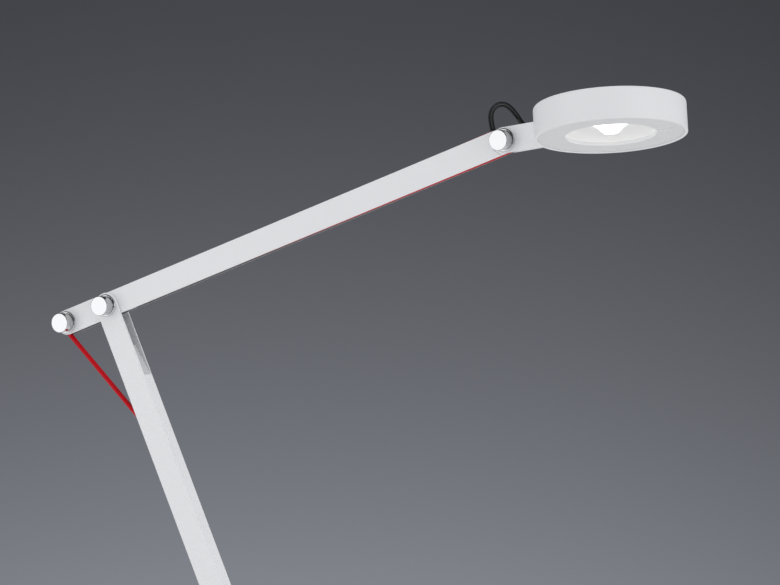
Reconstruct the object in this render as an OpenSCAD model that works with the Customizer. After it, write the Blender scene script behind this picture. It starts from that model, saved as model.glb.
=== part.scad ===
// Desk lamp with a disc head on two arms. A box-section lower arm stands on a round weighted base,
// and a channel-section upper arm turns in its forked top. A red cord runs from a spring in the lower
// arm round a pulley in the rear of the upper arm, then along both channels and round the head pulley.
// Millimetres. Origin: centre of the base's underside. +Z up, +X towards the head, -Y towards the knobs.

/* [Stance] */
// Lean of the lower arm from the vertical, away from the head
lower_lean = 24; // [20:0.5:28]
// Rise of the upper arm above the horizontal
upper_rise = 20; // [16:0.5:24]
// Rise of the neck above the horizontal
neck_rise = 8.5; // [5:0.5:12]
// Turn of the head about its neck
head_roll = 10; // [4:1:16]

/* [Base] */
// Diameter of the base
base_d = 200; // [180:1:240]
// Height of the base's top above the table
base_h = 14; // [14:0.5:18]
// Sheet thickness of the base cover
cover_wall = 1.2; // [1:0.1:1.6]
// Radius of the cover's top edge
cover_edge = 3; // [2:0.5:4]
// Thickness of the foot pad
pad_h = 1.5; // [1:0.1:2]
// Width of the border left bare round the foot pad
pad_border = 6; // [4:1:12]
// Distance from the centre to each base screw
screw_pitch_r = 70; // [50:1:80]
// Bore of the power inlet
inlet_bore = 5.5; // [5:0.1:6]
// Depth of the power inlet
inlet_depth = 9; // [8:0.5:10]

/* [Swivel] */
// Height of the foot pivot above the table
foot_h = 40; // [38:0.5:50]
// Diameter of the swivel spindle
spindle_d = 13; // [12:0.1:14]
// Thickness of each ear beside the lower arm
foot_ear = 3; // [2:0.1:4]
// Diameter of the swivel's flange
flange_d = 44; // [38:1:50]

/* [Lower arm] */
// Distance between the foot pivot and the elbow
lower_len = 440; // [400:1:480]
// Width of the lower arm, seen from the knob side
lower_w = 20; // [19.5:0.1:22]
// Depth of the lower arm, front face to back face
lower_d = 12.5; // [12.5:0.1:14]
// Wall thickness of the lower arm
lower_wall = 1.5; // [1.2:0.1:1.6]
// Length of the folding slot below the elbow
fold_slot = 62; // [58:1:70]
// Length of the opening behind the elbow
rear_slot = 24; // [24:1:28]
// Lowest end of the cord slot, measured from the elbow
cord_slot_end = 112; // [108:1:125]
// Width of the cord slot
cord_slot_w = 6; // [5.6:0.1:6.4]

/* [Upper arm] */
// Distance between the elbow and the head pivot
upper_len = 368; // [340:1:400]
// Distance between the elbow and the rear pulley
rear_len = 40.5; // [39:0.5:43]
// Height of the upper arm
arm_h = 19; // [18.6:0.1:19.4]
// Depth of the upper arm
arm_d = 8.8; // [8.6:0.1:8.8]
// Width of the channels along the upper arm
channel_w = 5.4; // [5.2:0.1:5.6]
// Thickness of the web between the channels
web_t = 2; // [1.6:0.1:2.2]

/* [Knobs] */
// Diameter of a knob
knob_d = 15; // [14:0.1:16]
// Height of a knob
knob_h = 8.6; // [8:0.1:10]
// Diameter of the ring under a knob
ring_d = 17.4; // [16.4:0.1:18]
// Height of the ring under a knob
ring_h = 1.2; // [1:0.1:1.6]
// Diameter of the pivot bolts
bolt_d = 6; // [5.6:0.1:6.4]
// Height of the cap nut at the back of a pivot
nut_h = 3.2; // [3:0.1:4]

/* [Cord] */
// Diameter of the red cord
cord_d = 3.6; // [3.2:0.1:3.6]
// Radius of the cord's centre line round the rear pulley
rear_wrap_r = 6.5; // [6.3:0.1:6.7]
// Radius of the cord's centre line round the head pulley
head_wrap_r = 8.7; // [8.5:0.1:8.8]
// Distance from the elbow to the place where the cord enters the lower arm
cord_entry = 92; // [90:0.5:95]
// Length of the cord inside the lower arm's wall line
cord_spare = 7; // [6:0.5:8]

/* [Head] */
// Distance from the head pivot to the centre of the head
head_reach = 84; // [82:0.5:88]
// Diameter of the head
head_d = 110; // [106:1:112]
// Thickness of the head
head_t = 23.6; // [23:0.1:25]
// Wall thickness of the head
head_wall = 2.4; // [2:0.1:2.6]
// Radius of the head's top edge
head_edge = 2.5; // [1.5:0.5:3]
// Height of the neck's axis above the head's lower rim
neck_up = 10.2; // [10:0.1:10.8]
// Depth of the neck
neck_d = 10.3; // [10.3:0.1:10.8]
// Diameter of the light opening
light_d = 66; // [62:1:67]
// Length of the switch button
button_len = 9; // [8:0.5:9.5]
// Width of the switch button
button_w = 4.4; // [4:0.2:5]

/* [Hidden] */
$fn = 96;
run_fit = 0.05;
slip_fit = 0.1;
part_gap = 0.3;
white = [0.9, 0.9, 0.91];
steel = [0.75, 0.76, 0.78];
chrome = [0.86, 0.87, 0.88];
red = [0.78, 0.1, 0.12];
black = [0.08, 0.08, 0.09];

// Largest turn of the neck out of line with the upper arm
neck_turn = 57;

// Inner widths
lower_in_w = lower_w - 2 * lower_wall;
lower_in_d = lower_d - 2 * lower_wall;
shim_t = lower_in_d / 2 - arm_d / 2 - run_fit;
channel_h = (arm_h - web_t) / 2;

// Head end of the upper arm, thinned to lie between the neck's ears
neck_slot_w = 7.7;
arm_end_d = neck_slot_w - 2 * slip_fit;
neck_slot_r = arm_h / 2 + 2;
neck_len = head_reach - head_d / 2 - part_gap;

// Base stack, from the table upwards
weight_top = base_h - cover_wall - 0.2;
nut_room_top = pad_h + 5.5;
bush_flange = 0.8;
post_z = base_h + bush_flange + run_fit;
flange_h = 4;
boss_h = 4.8;
inlet_z = (base_h - cover_edge + pad_h) / 2;
saddle_z = foot_h - lower_w / 2 - 1;

// Cord line at rest, in the lower arm's own plane: x across, z up from the foot pivot
upper_in_lower = upper_rise - lower_lean;
rear_dir = 180 + upper_in_lower;
rear_pin = [rear_len * cos(rear_dir), lower_len + rear_len * sin(rear_dir)];
entry = [-lower_w / 2, lower_len - cord_entry];
to_entry = entry - rear_pin;
cord_angle = atan2(to_entry[1], to_entry[0]) + asin(rear_wrap_r / norm(to_entry));
cord_foot = rear_pin + rear_wrap_r * [sin(cord_angle), -cos(cord_angle)];
cord_run = sqrt(pow(norm(to_entry), 2) - pow(rear_wrap_r, 2)) + cord_spare;
span = rear_len + upper_len;
strand_slope = asin((head_wrap_r - rear_wrap_r) / span);
wrap_from = 90 + strand_slope + upper_in_lower;
wrap_to = cord_angle + 270;

// Frames of the moving parts at rest
module in_lower() translate([0, 0, foot_h]) rotate([0, -lower_lean, 0]) children();
module at_elbow() in_lower() translate([0, 0, lower_len]) children();
module in_upper() at_elbow() rotate([0, -upper_in_lower, 0]) children();
module at_rear() in_upper() translate([-rear_len, 0, 0]) children();
module at_head() in_upper() translate([upper_len, 0, 0]) children();
module in_neck() at_head() rotate([0, upper_rise - neck_rise, 0]) children();
module in_head()
  in_neck() rotate([-head_roll, 0, 0]) translate([head_reach, 0, -neck_up]) children();

// A round bar across the lamp, from v0 to v1 measured towards the knobs
module bar(r, v0, v1) rotate([90, 0, 0]) translate([0, 0, v0]) cylinder(r = r, h = v1 - v0);
// A tube across the lamp
module sleeve(r_out, r_in, v0, v1)
  difference() {
    bar(r_out, v0, v1);
    bar(r_in, v0 - 1, v1 + 1);
  }
// A bar with both ends round, standing on z, its end centres len apart
module capsule(len, w, d) {
  translate([-w / 2, -d / 2, 0]) cube([w, d, len]);
  for (z = [0, len]) translate([0, 0, z]) bar(w / 2, -d / 2, d / 2);
}
// A flat piece drawn in x and z and centred on the arm's middle plane
module slab(d) rotate([90, 0, 0]) translate([0, 0, -d / 2]) linear_extrude(d) children();

// Pivot hardware: half is the distance from the middle plane to the outer face it sits on
module pivot_bolt(half) color(steel) bar(bolt_d / 2, -half - nut_h + 1, half + ring_h + knob_h - 3);
module pivot_ring(half)
  color(chrome) sleeve(ring_d / 2, bolt_d / 2 + run_fit, half + run_fit, half + ring_h);
module pivot_knob(half)
  color(chrome) difference() {
    bar(knob_d / 2, half + ring_h, half + ring_h + knob_h);
    bar(bolt_d / 2 + run_fit, half + ring_h - 1, half + ring_h + knob_h - 3 + run_fit);
  }
module pivot_cap_nut(half)
  color(chrome) difference() {
    bar(bolt_d, -half - nut_h, -half - run_fit);
    bar(bolt_d / 2 + run_fit, -half - nut_h + 1 - run_fit, 0);
  }

// Base
module disc(d, z0, z1) translate([0, 0, z0]) cylinder(d = d, h = z1 - z0, $fn = 180);
module at_screws() for (a = [45:90:315]) rotate(a) translate([screw_pitch_r, 0, 0]) children();

module base_cover()
  color(white) difference() {
    union() {
      difference() {
        rotate_extrude($fn = 180) cover_outline(0, base_h);
        rotate_extrude($fn = 180) cover_outline(cover_wall, base_h - cover_wall);
      }
      at_screws() disc(9, weight_top - boss_h, base_h - cover_wall / 2);
    }
    disc(2 * bush_r + 2 * slip_fit, 0, base_h + 1);
    at_screws() disc(4, 0, base_h - cover_wall);
    inlet_hole(inlet_body_d + 2 * slip_fit);
  }
module cover_outline(inset, top) {
  r = base_d / 2 - inset;
  e = cover_edge - inset;
  translate([0, pad_h - (inset > 0 ? 1 : 0)]) square([r, top - e - pad_h + (inset > 0 ? 1 : 0)]);
  translate([0, pad_h]) square([r - e, top - pad_h]);
  translate([r - e, top - e]) circle(e, $fn = 64);
}
bush_r = spindle_d / 2 + 2.5;
inlet_body_d = inlet_bore + 2.5;
inlet_nut_w = inlet_body_d + 1.6;
module inlet_hole(d)
  translate([-base_d / 2 - 1, 0, inlet_z]) rotate([0, 90, 0]) cylinder(d = d, h = base_d / 2);

module base_weight()
  color([0.25, 0.25, 0.26]) difference() {
    disc(base_d - 2 * cover_wall - 2 * cover_edge, pad_h, weight_top);
    disc(2 * bush_r + 2 * run_fit, 0, base_h);
    disc(34, 0, nut_room_top);
    at_screws() {
      disc(4.4, 0, base_h);
      disc(9.6, weight_top - boss_h - 0.2, base_h);
      disc(9, 0, pad_h + 3);
    }
    inlet_room();
  }
module inlet_room()
  translate([-base_d / 2 - 1, -8, pad_h - 1]) cube([inlet_depth + 16, 16, base_h]);

module base_pad()
  color(black) difference() {
    disc(base_d - 2 * pad_border, 0, pad_h);
    disc(34, -1, pad_h + 1);
    at_screws() disc(9, -1, pad_h + 1);
  }

module base_screws()
  color(steel) at_screws() {
    disc(8, pad_h + 0.6, pad_h + 3);
    disc(4 - 2 * run_fit, pad_h + 3, base_h - cover_wall);
  }

module power_inlet()
  color(black) translate([-base_d / 2, 0, inlet_z]) rotate([0, 90, 0]) difference() {
    union() {
      translate([0, 0, -0.5]) cylinder(d = inlet_body_d, h = inlet_depth + 4);
      translate([0, 0, -1]) cylinder(d = inlet_body_d + 1.2, h = 1 - slip_fit);
    }
    translate([0, 0, -2]) cylinder(d = inlet_bore, h = inlet_depth + 2);
  }
module inlet_nut()
  color(steel) translate([-base_d / 2 + cover_wall + 3 * slip_fit, 0, inlet_z]) rotate([0, 90, 0])
    difference() {
      rotate(30) cylinder(d = inlet_nut_w / cos(30), h = 2, $fn = 6);
      translate([0, 0, -1]) cylinder(d = inlet_body_d + 2 * run_fit, h = 4);
    }

module swivel_bush()
  color(black) difference() {
    union() {
      disc(2 * bush_r, nut_room_top, base_h + 0.1);
      disc(2 * bush_r + 14, base_h, base_h + bush_flange);
    }
    disc(spindle_d + 2 * run_fit, 0, base_h + 2);
  }

// Swivel post with two ears that hold the lower arm's foot
ear_in = lower_d / 2 + part_gap;
ear_out = ear_in + foot_ear;
module swivel_post()
  color(white) difference() {
    union() {
      disc(spindle_d, pad_h + 1.7, post_z + 1);
      disc(flange_d, post_z, post_z + flange_h);
      translate([-lower_w / 2, -ear_out, post_z + flange_h - 1])
        cube([lower_w, 2 * ear_out, foot_h - post_z - flange_h + 1]);
      translate([0, 0, foot_h]) bar(lower_w / 2, -ear_out, ear_out);
    }
    translate([-lower_w, -ear_in, saddle_z]) cube([2 * lower_w, 2 * ear_in, 2 * lower_w]);
    translate([0, 0, foot_h]) bar(bolt_d / 2 + run_fit, -ear_out - 1, ear_out + 1);
    disc(6, 0, saddle_z + 1);
  }
module swivel_nut()
  color(steel) difference() {
    disc_hex(spindle_d + 8, pad_h + 1.9, nut_room_top - run_fit);
    disc(spindle_d + 2 * run_fit, 0, base_h);
  }
module disc_hex(d, z0, z1) translate([0, 0, z0]) cylinder(d = d, h = z1 - z0, $fn = 6);

module at_foot() translate([0, 0, foot_h]) children();
module foot_bolt() at_foot() pivot_bolt(ear_out);
module foot_knob() at_foot() pivot_knob(ear_out);
module foot_ring() at_foot() pivot_ring(ear_out);
module foot_cap_nut() at_foot() pivot_cap_nut(ear_out);
module foot_shims()
  color(black) at_foot() for (s = [-1, 1])
    sleeve(0.9 * lower_w / 2, bolt_d / 2 + run_fit,
           min(s * (ear_in - run_fit), s * (lower_d / 2 + run_fit)),
           max(s * (ear_in - run_fit), s * (lower_d / 2 + run_fit)));

// Lower arm: a box tube, open at the top between two round cheeks
module lower_arm()
  color(white) in_lower() difference() {
    capsule(lower_len, lower_w, lower_d);
    translate([-lower_in_w / 2, -lower_in_d / 2, -lower_w])
      cube([lower_in_w, lower_in_d, lower_len + 2 * lower_w]);
    translate([0, -lower_in_d / 2, lower_len - fold_slot])
      cube([lower_w, lower_in_d, fold_slot + lower_w]);
    translate([-lower_w, -lower_in_d / 2, lower_len - rear_slot])
      cube([lower_w, lower_in_d, rear_slot + lower_w]);
    translate([-lower_w, -cord_slot_w / 2, lower_len - cord_slot_end])
      cube([lower_w, cord_slot_w, cord_slot_end]);
    translate([-lower_w / 2 - 1, -lower_in_d / 2, -lower_w]) cube([lower_w + 2, lower_in_d, lower_w]);
    for (z = [0, lower_len]) translate([0, 0, z]) bar(bolt_d / 2 + run_fit, -lower_d, lower_d);
    translate([0, 0, lower_len - spring_pin_drop]) bar(pin_r + run_fit, -lower_d, lower_d);
  }
module foot_plug()
  color(black) in_lower() difference() {
    union() {
      translate([-lower_in_w / 2 + slip_fit, -lower_in_d / 2 + slip_fit, 0])
        cube([lower_in_w - 2 * slip_fit, lower_in_d - 2 * slip_fit, lower_w]);
      bar(lower_in_w / 2 - slip_fit, -lower_in_d / 2 + slip_fit, lower_in_d / 2 - slip_fit);
    }
    bar(bolt_d / 2 + run_fit, -lower_d, lower_d);
    translate([lower_in_w / 4, 0, -lower_w]) cylinder(d = 4, h = 3 * lower_w);
  }
// Sloping floor of the folding slot, fixed to the inside of the right wall
ramp_t = 1.4;
ramp_len = 26;
ramp_in = 4;
ramp_low = [lower_w / 2 - run_fit, -fold_slot + run_fit];
ramp_top = ramp_low + [-ramp_in, ramp_len];
ramp_side = lower_in_w / 2 - run_fit;
module slot_ramp()
  color(white) at_elbow() slab(lower_in_d - 2 * slip_fit)
    polygon([
      ramp_top, ramp_low, [ramp_side, -fold_slot + run_fit], [ramp_side, -fold_slot - 14],
      [ramp_side - ramp_t, -fold_slot - 14], [ramp_side - ramp_t, -fold_slot], ramp_top - [ramp_t, 0]
    ]);

module elbow_bolt() at_elbow() pivot_bolt(lower_d / 2);
module elbow_knob() at_elbow() pivot_knob(lower_d / 2);
module elbow_ring() at_elbow() pivot_ring(lower_d / 2);
module elbow_cap_nut() at_elbow() pivot_cap_nut(lower_d / 2);
module elbow_shims()
  color(black) at_elbow() for (s = [-1, 1])
    translate([0, -s * (lower_in_d / 2 - shim_t / 2), 0])
      sleeve(arm_h / 2 - 0.5, bolt_d / 2 + run_fit, -shim_t / 2, shim_t / 2);

// Balance spring and its pin, hung inside the lower arm below the cord's end
pin_r = 1.5;
spring_pin_drop = 270;
spring_r = 2.6;
ferrule_d = 4.6;
ferrule_len = 7;
cord_dir = [cos(cord_angle), sin(cord_angle)];
ferrule_end = cord_foot + (cord_run + ferrule_len) * cord_dir;
spring_top = [ferrule_end[0] + 1.2, ferrule_end[1] - 2];
spring_low = [0, lower_len - spring_pin_drop + pin_r];
module spring_pin()
  color(steel) in_lower() translate([0, 0, lower_len - spring_pin_drop])
    bar(pin_r, -lower_d / 2 + 0.2, lower_d / 2 - 0.2);
module balance_spring()
  color(steel) in_lower() bar_between(spring_top, spring_low, spring_r);
module bar_between(p, q, r) {
  run = q - p;
  translate([p[0], 0, p[1]]) rotate([0, atan2(run[0], run[1]), 0]) cylinder(r = r, h = norm(run));
}

// Power wires in the lower arm, and the block that joins them to the upper arm's wires
wire_r = 0.8;
wire_y = lower_in_d / 2 - wire_r - 0.2;
wire_x = lower_in_w / 4;
joint_a = 150;
module lower_wire()
  color(black) in_lower() for (s = [0, 1])
    translate([wire_x - s * 2.2 * wire_r, wire_y, lower_w + 1])
      cylinder(r = wire_r, h = lower_len - joint_a - lower_w - 1, $fn = 32);
module wire_joint()
  color(white) in_lower() translate([wire_x - 4.3, wire_y - 1.1, lower_len - joint_a])
    cube([6, 2 * wire_r + 0.3, 12]);

// Upper arm: two walls joined by a web, with a channel along the top and another along the bottom
module upper_arm()
  color(white) in_upper() difference() {
    translate([-rear_len, 0, 0]) rotate([0, 90, 0]) capsule(rear_len + upper_len, arm_h, arm_d);
    for (s = [-1, 1])
      translate([-rear_len - arm_h, -channel_w / 2, s > 0 ? web_t / 2 : -arm_h])
        cube([rear_len + upper_len + 2 * arm_h, channel_w, arm_h - web_t / 2]);
    translate([-rear_len - arm_h, -channel_w / 2, -arm_h]) cube([arm_h + 9, channel_w, 2 * arm_h]);
    translate([upper_len - 11.5, -channel_w / 2, -arm_h]) cube([2 * arm_h, channel_w, 2 * arm_h]);
    bar(bush_out + run_fit, -channel_w / 2, channel_w / 2);
    for (x = [-rear_len, 0, upper_len]) translate([x, 0, 0]) bar(bolt_d / 2 + run_fit, -arm_d, arm_d);
    for (s = [-1, 1])
      translate([upper_len, s * (arm_end_d + arm_d) / 2, 0]) ear_sweep(arm_d);
    cable_notch();
  }
// Room that the neck's ears need on the arm's sides over the whole tilt
module ear_sweep(d) bar(arm_h / 2 / cos(neck_turn / 2) + part_gap, -d / 2, d / 2);

module elbow_bush()
  color(black) in_upper()
    sleeve(bush_out, bolt_d / 2 + run_fit, -channel_w / 2 + run_fit, channel_w / 2 - run_fit);
bush_out = 4.7;

module rear_bolt() at_rear() pivot_bolt(arm_d / 2);
module rear_knob() at_rear() pivot_knob(arm_d / 2);
module rear_ring() at_rear() pivot_ring(arm_d / 2);
module rear_cap_nut() at_rear() pivot_cap_nut(arm_d / 2);
module head_bolt() at_head() pivot_bolt(neck_d / 2);
module head_knob() at_head() pivot_knob(neck_d / 2);
module head_ring() at_head() pivot_ring(neck_d / 2);
module head_cap_nut() at_head() pivot_cap_nut(neck_d / 2);

// Pulley with a round groove for the cord
module pulley(wrap_r) {
  groove = cord_d / 2 + run_fit;
  difference() {
    bar(wrap_r - 0.2, -channel_w / 2 + slip_fit, channel_w / 2 - slip_fit);
    rotate([90, 0, 0]) rotate_extrude() translate([wrap_r, 0]) circle(groove, $fn = 32);
    bar(bolt_d / 2 + run_fit, -channel_w, channel_w);
  }
}
module rear_pulley() color(steel) at_rear() pulley(rear_wrap_r);
module head_pulley() color(steel) in_neck() pulley(head_wrap_r);

// A tube of radius r swept along points given in x and z, at y across the lamp
function side(p, i) =
  let (d = p[min(i + 1, len(p) - 1)] - p[max(i - 1, 0)]) [-d[1], d[0]] / norm(d);
module swept(p, r, y) {
  sides = 8;
  n = len(p);
  rings = [
    for (i = [0:n - 1], k = [0:sides - 1]) let (out = side(p, i) * r * cos(360 * k / sides))
      [p[i][0] + out[0], y + r * sin(360 * k / sides), p[i][1] + out[1]]
  ];
  walls = [
    for (i = [0:n - 2], k = [0:sides - 1]) let (a = i * sides + k, b = i * sides + (k + 1) % sides)
      each [[a, b, a + sides], [b, b + sides, a + sides]]
  ];
  ends = [[for (k = [sides - 1:-1:0]) k], [for (k = [0:sides - 1]) (n - 1) * sides + k]];
  polyhedron(points = rings, faces = concat(walls, ends));
}

// Cord along the upper arm: one strand in each channel, joined round the head pulley
clamp_x = 22;
turn_steps = 12;
turn_step = (180 + 2 * strand_slope) / turn_steps;
turn_r = head_wrap_r / cos(turn_step / 2);
strand_top = [-rear_len, 0] + rear_wrap_r * [-sin(strand_slope), cos(strand_slope)];
strand_low = [clamp_x, -head_wrap_r + (upper_len - clamp_x) * tan(strand_slope)];
arm_cord_path = concat(
  [strand_top],
  [for (i = [0:turn_steps]) let (a = 90 + strand_slope - i * turn_step)
    [upper_len, 0] + turn_r * [cos(a), sin(a)]],
  [strand_low]
);
module arc_cord(wrap_r, from, to)
  rotate([90, 0, 0]) rotate([0, 0, from]) rotate_extrude(angle = to - from)
    translate([wrap_r, 0]) circle(cord_d / 2, $fn = 32);
module arm_cord() color(red) in_upper() swept(arm_cord_path, cord_d / 2, 0);
module cord_clamp()
  color(steel) in_upper() translate([clamp_x - 8, -channel_w / 2 + slip_fit, -arm_h / 2 + 0.5])
    cube([8 - run_fit, channel_w - 2 * slip_fit, channel_h - 0.5 - run_fit]);
module cord_wrap() color(red) at_elbow() translate([rear_pin[0], 0, rear_pin[1] - lower_len])
    arc_cord(rear_wrap_r, wrap_from, wrap_to);
module balance_cord()
  color(red) in_lower() bar_between(cord_foot, cord_foot + cord_run * cord_dir, cord_d / 2);
module cord_ferrule()
  color(steel) in_lower()
    bar_between(cord_foot + cord_run * cord_dir, ferrule_end, ferrule_d / 2);

// Wires in the upper arm's top channel, and where they leave it behind the head pivot
cable_y = 2.9;
cable_pitch = 2.3;
cable_x = -9.9;
notch_z = 5.5;
grommet_top = arm_h / 2 + 0.4;
module upper_wire()
  color(black) in_upper() for (s = [-1, 1])
    translate([bush_out + 2, s * wire_r * 1.3, web_t / 2 + wire_r + run_fit]) rotate([0, 90, 0])
      cylinder(r = wire_r, h = upper_len - 13 - bush_out - 2, $fn = 32);
module cable_notch()
  translate([upper_len + cable_x - 2.8, cable_y - 0.9, notch_z]) cube([5.6, arm_d, arm_h]);
module cable_grommet()
  color(black) at_head() translate([cable_x - 2.7, cable_y - 0.8, notch_z + run_fit])
    cube([5.4, arm_end_d / 2 - cable_y + 0.75, grommet_top - notch_z - run_fit]);

// Black twin cable that arches from the upper arm to the neck. Points lie in the arm's middle plane,
// level with the table and measured from the head pivot.
strand_r = 0.75;
function from_arm(along, above) =
  [along * cos(upper_rise) - above * sin(upper_rise), along * sin(upper_rise) + above * cos(upper_rise)];
cable_end = [8.4, 15.2];
cable_path = concat(
  [for (above = [0, 0.7, 1.4]) from_arm(cable_x, grommet_top + above)],
  [[-14.4, 12.6], [-14.9, 17.6], [-13.4, 22], [-10, 25], [-6, 26], [-2, 25.2], [1.6, 22.8]],
  [[4.6, 19.8], [7, 17], cable_end]
);
function spline(p, i, t) =
  let (a = p[max(i - 1, 0)], b = p[i], c = p[i + 1], d = p[min(i + 2, len(p) - 1)])
  0.5 * (2 * b + (c - a) * t + (2 * a - 5 * b + 4 * c - d) * t * t + (3 * b - a - 3 * c + d) * pow(t, 3));
function smooth(p) =
  concat([for (i = [0:len(p) - 2], t = [0, 0.5]) spline(p, i, t)], [p[len(p) - 1]]);
cable_mid = smooth(cable_path);
function apart(i) = cable_pitch / 2 - 0.35 * pow(i / (len(cable_mid) - 1), 4);
function strand(s) =
  [for (i = [0:len(cable_mid) - 1]) cable_mid[i] + side(cable_mid, i) * s * apart(i)];
module level_at_head() at_head() rotate([0, upper_rise, 0]) children();
module head_cable()
  color(black) level_at_head() for (s = [-1, 1]) swept(strand(s), strand_r, cable_y);
sleeve_r = 1.8;
sleeve_turn = 142;
sleeve_len = 7.4;
module cable_sleeve()
  color(black) level_at_head() translate([cable_end[0], cable_y, cable_end[1]])
    rotate([0, sleeve_turn, 0]) cylinder(r = sleeve_r, h = sleeve_len, $fn = 48);

// Neck: two ears round the arm's end, a solid block behind them and a hollow spindle into the head
spindle_r = 4;
spindle_x = 15;
module neck()
  color(white) in_neck() difference() {
    union() {
      bar(arm_h / 2, -neck_d / 2, neck_d / 2);
      translate([0, -neck_d / 2, -arm_h / 2]) cube([neck_len, neck_d, arm_h]);
    }
    bar(neck_slot_r, -neck_slot_w / 2, neck_slot_w / 2);
    bar(bolt_d / 2 + run_fit, -neck_d, neck_d);
    translate([spindle_x, 0, 0]) rotate([0, 90, 0]) cylinder(r = spindle_r, h = neck_len);
    rotate([0, neck_rise, 0]) translate([cable_end[0], cable_y, cable_end[1]])
      rotate([0, sleeve_turn, 0]) cylinder(r = sleeve_r + run_fit, h = sleeve_len + 0.4, $fn = 48);
  }
wall_x = head_reach - head_d / 2;
module neck_spindle()
  color(steel) in_neck() rotate([0, 90, 0]) difference() {
    translate([0, 0, spindle_x + 0.1]) cylinder(r = spindle_r - run_fit, h = wall_x + head_wall + 3.6 - spindle_x);
    cylinder(r = 2.2, h = head_reach);
  }
module spindle_nut()
  color(steel) in_neck() translate([wall_x + head_wall + 0.4, 0, 0]) rotate([0, 90, 0]) difference() {
    cylinder(r = 6.2, h = 2.8, $fn = 6);
    translate([0, 0, -1]) cylinder(r = spindle_r, h = 5);
  }

// Head: an open-bottomed round housing that holds the light and the switch
head_r = head_d / 2;
roof_t = 2.2;
trim_z = 0.8;
trim_t = 2.4;
light_r = light_d / 2;
board_z = 11.8;
board_r = 0.4 * head_r;
sink_z = 13;
sink_r = head_r - 15;
fin_pitch = sink_r / 5;
button_r = 39.4;
button_turn = 11.5;
button_travel = 0.6;
button_lip = 1.6;
bump_h = 1.6;
module at_button() rotate(button_turn) translate([button_r, 0, 0]) children();
module ring_piece(r_out, r_in, z0, z1)
  difference() {
    disc(2 * r_out, z0, z1);
    disc(2 * r_in, z0 - 1, z1 + 1);
  }
module head_housing()
  color(white) in_head() difference() {
    rotate_extrude($fn = 180) difference() {
      union() {
        square([head_r - head_edge, head_t]);
        square([head_r, head_t - head_edge]);
        translate([head_r - head_edge, head_t - head_edge]) circle(head_edge, $fn = 64);
      }
      translate([-1, -1]) square([head_r - head_wall + 1, head_t - roof_t + 1]);
    }
    translate([-head_r - 1, 0, neck_up]) rotate([0, 90, 0]) cylinder(r = spindle_r + run_fit, h = 2 * head_wall + 1);
  }
module heat_sink()
  color(steel) in_head() union() {
    disc(2 * sink_r, sink_z, sink_z + 3);
    for (i = [1:4]) let (r = (i + 0.5) * fin_pitch)
      ring_piece(r + 1, r - 1, sink_z + 2.9, head_t - roof_t - 0.2);
  }
module led_board() color(white) in_head() disc(2 * board_r, board_z, sink_z - run_fit);
module led_emitter() color([1, 0.95, 0.7]) in_head() disc(14, board_z - 0.9, board_z - run_fit);
// Frosted lens: a cone that hangs from the board through the roof of the reflector
lens_r = 13.3;
lens_tip_r = 5.2;
lens_tip_z = 2.4;
dish_roof = 9.2;
dish_t = 0.8;
lens_flange_z = dish_roof + dish_t + run_fit;
module led_lens()
  color([0.95, 0.95, 0.93]) in_head() difference() {
    union() {
      disc(2 * lens_r + 4, lens_flange_z, board_z - run_fit);
      translate([0, 0, lens_tip_z])
        cylinder(r1 = lens_tip_r, r2 = lens_r, h = lens_flange_z - lens_tip_z + 0.1);
    }
    disc(15, board_z - 1, board_z + 1);
  }
// Reflector: a white dish from the lens to the rim of the light opening
dish_roof_r = 21;
dish_rim_z = trim_z + trim_t + run_fit;
dish_steps = 8;
dish_curve = [
  for (i = [0:dish_steps]) let (a = 90 * i / dish_steps)
    [dish_roof_r + (light_r - dish_roof_r) * sin(a), dish_rim_z + (dish_roof - dish_rim_z) * cos(a)]
];
dish_back = [
  for (i = [dish_steps:-1:0]) let (a = 90 * i / dish_steps)
    [dish_roof_r + (light_r + dish_t - dish_roof_r) * sin(a),
     dish_rim_z + dish_t + (dish_roof - dish_rim_z) * cos(a)]
];
dish_flange = 4;
module reflector()
  color(white) in_head() difference() {
    rotate_extrude($fn = 180) polygon(concat(
      [[lens_r + 0.4, dish_roof]], dish_curve,
      [[light_r + dish_flange, dish_rim_z], [light_r + dish_flange, dish_rim_z + dish_t]],
      dish_back, [[lens_r + 0.4, dish_roof + dish_t]]
    ));
    at_button() stadium(button_len + button_lip + 0.6, button_w + button_lip + 0.6,
                        dish_rim_z - 0.1, dish_rim_z + dish_t + 0.1);
  }
module trim_ring()
  color([0.85, 0.85, 0.86]) in_head() difference() {
    union() {
      ring_piece(head_r - head_wall - slip_fit, light_r, trim_z, trim_z + trim_t);
      at_button() for (s = [-1, 1]) translate([5, s * 6, 0]) disc(4, trim_z + trim_t - 0.5, board_low);
    }
    at_button() stadium(button_len + 2 * slip_fit, button_w + 2 * slip_fit, 0, trim_z + trim_t + 1);
  }
module stadium(len, w, z0, z1)
  translate([0, 0, z0]) linear_extrude(z1 - z0) {
    square([len - w, w], center = true);
    for (s = [-1, 1]) translate([s * (len - w) / 2, 0]) circle(d = w, $fn = 48);
  }
flange_z = trim_z + trim_t + run_fit;
flange_t = 0.8;
board_low = flange_z + flange_t + button_travel + 1.4;
module switch_button()
  color(white) in_head() at_button() {
    stadium(button_len, button_w, trim_z, flange_z + flange_t);
    stadium(button_len + button_lip, button_w + button_lip, flange_z, flange_z + flange_t);
    for (s = [-1, 0, 1]) translate([s * 3.1, 0, trim_z - bump_h]) cylinder(r = 0.9, h = bump_h + 0.2, $fn = 32);
  }
module switch_board()
  color([0.1, 0.35, 0.2]) in_head() at_button() {
    translate([-4, -8, board_low]) cube([11, 16, 1.2]);
    translate([-3, -3, flange_z + flange_t + button_travel + 0.1]) cube([6, 6, 1.4]);
  }

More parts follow.
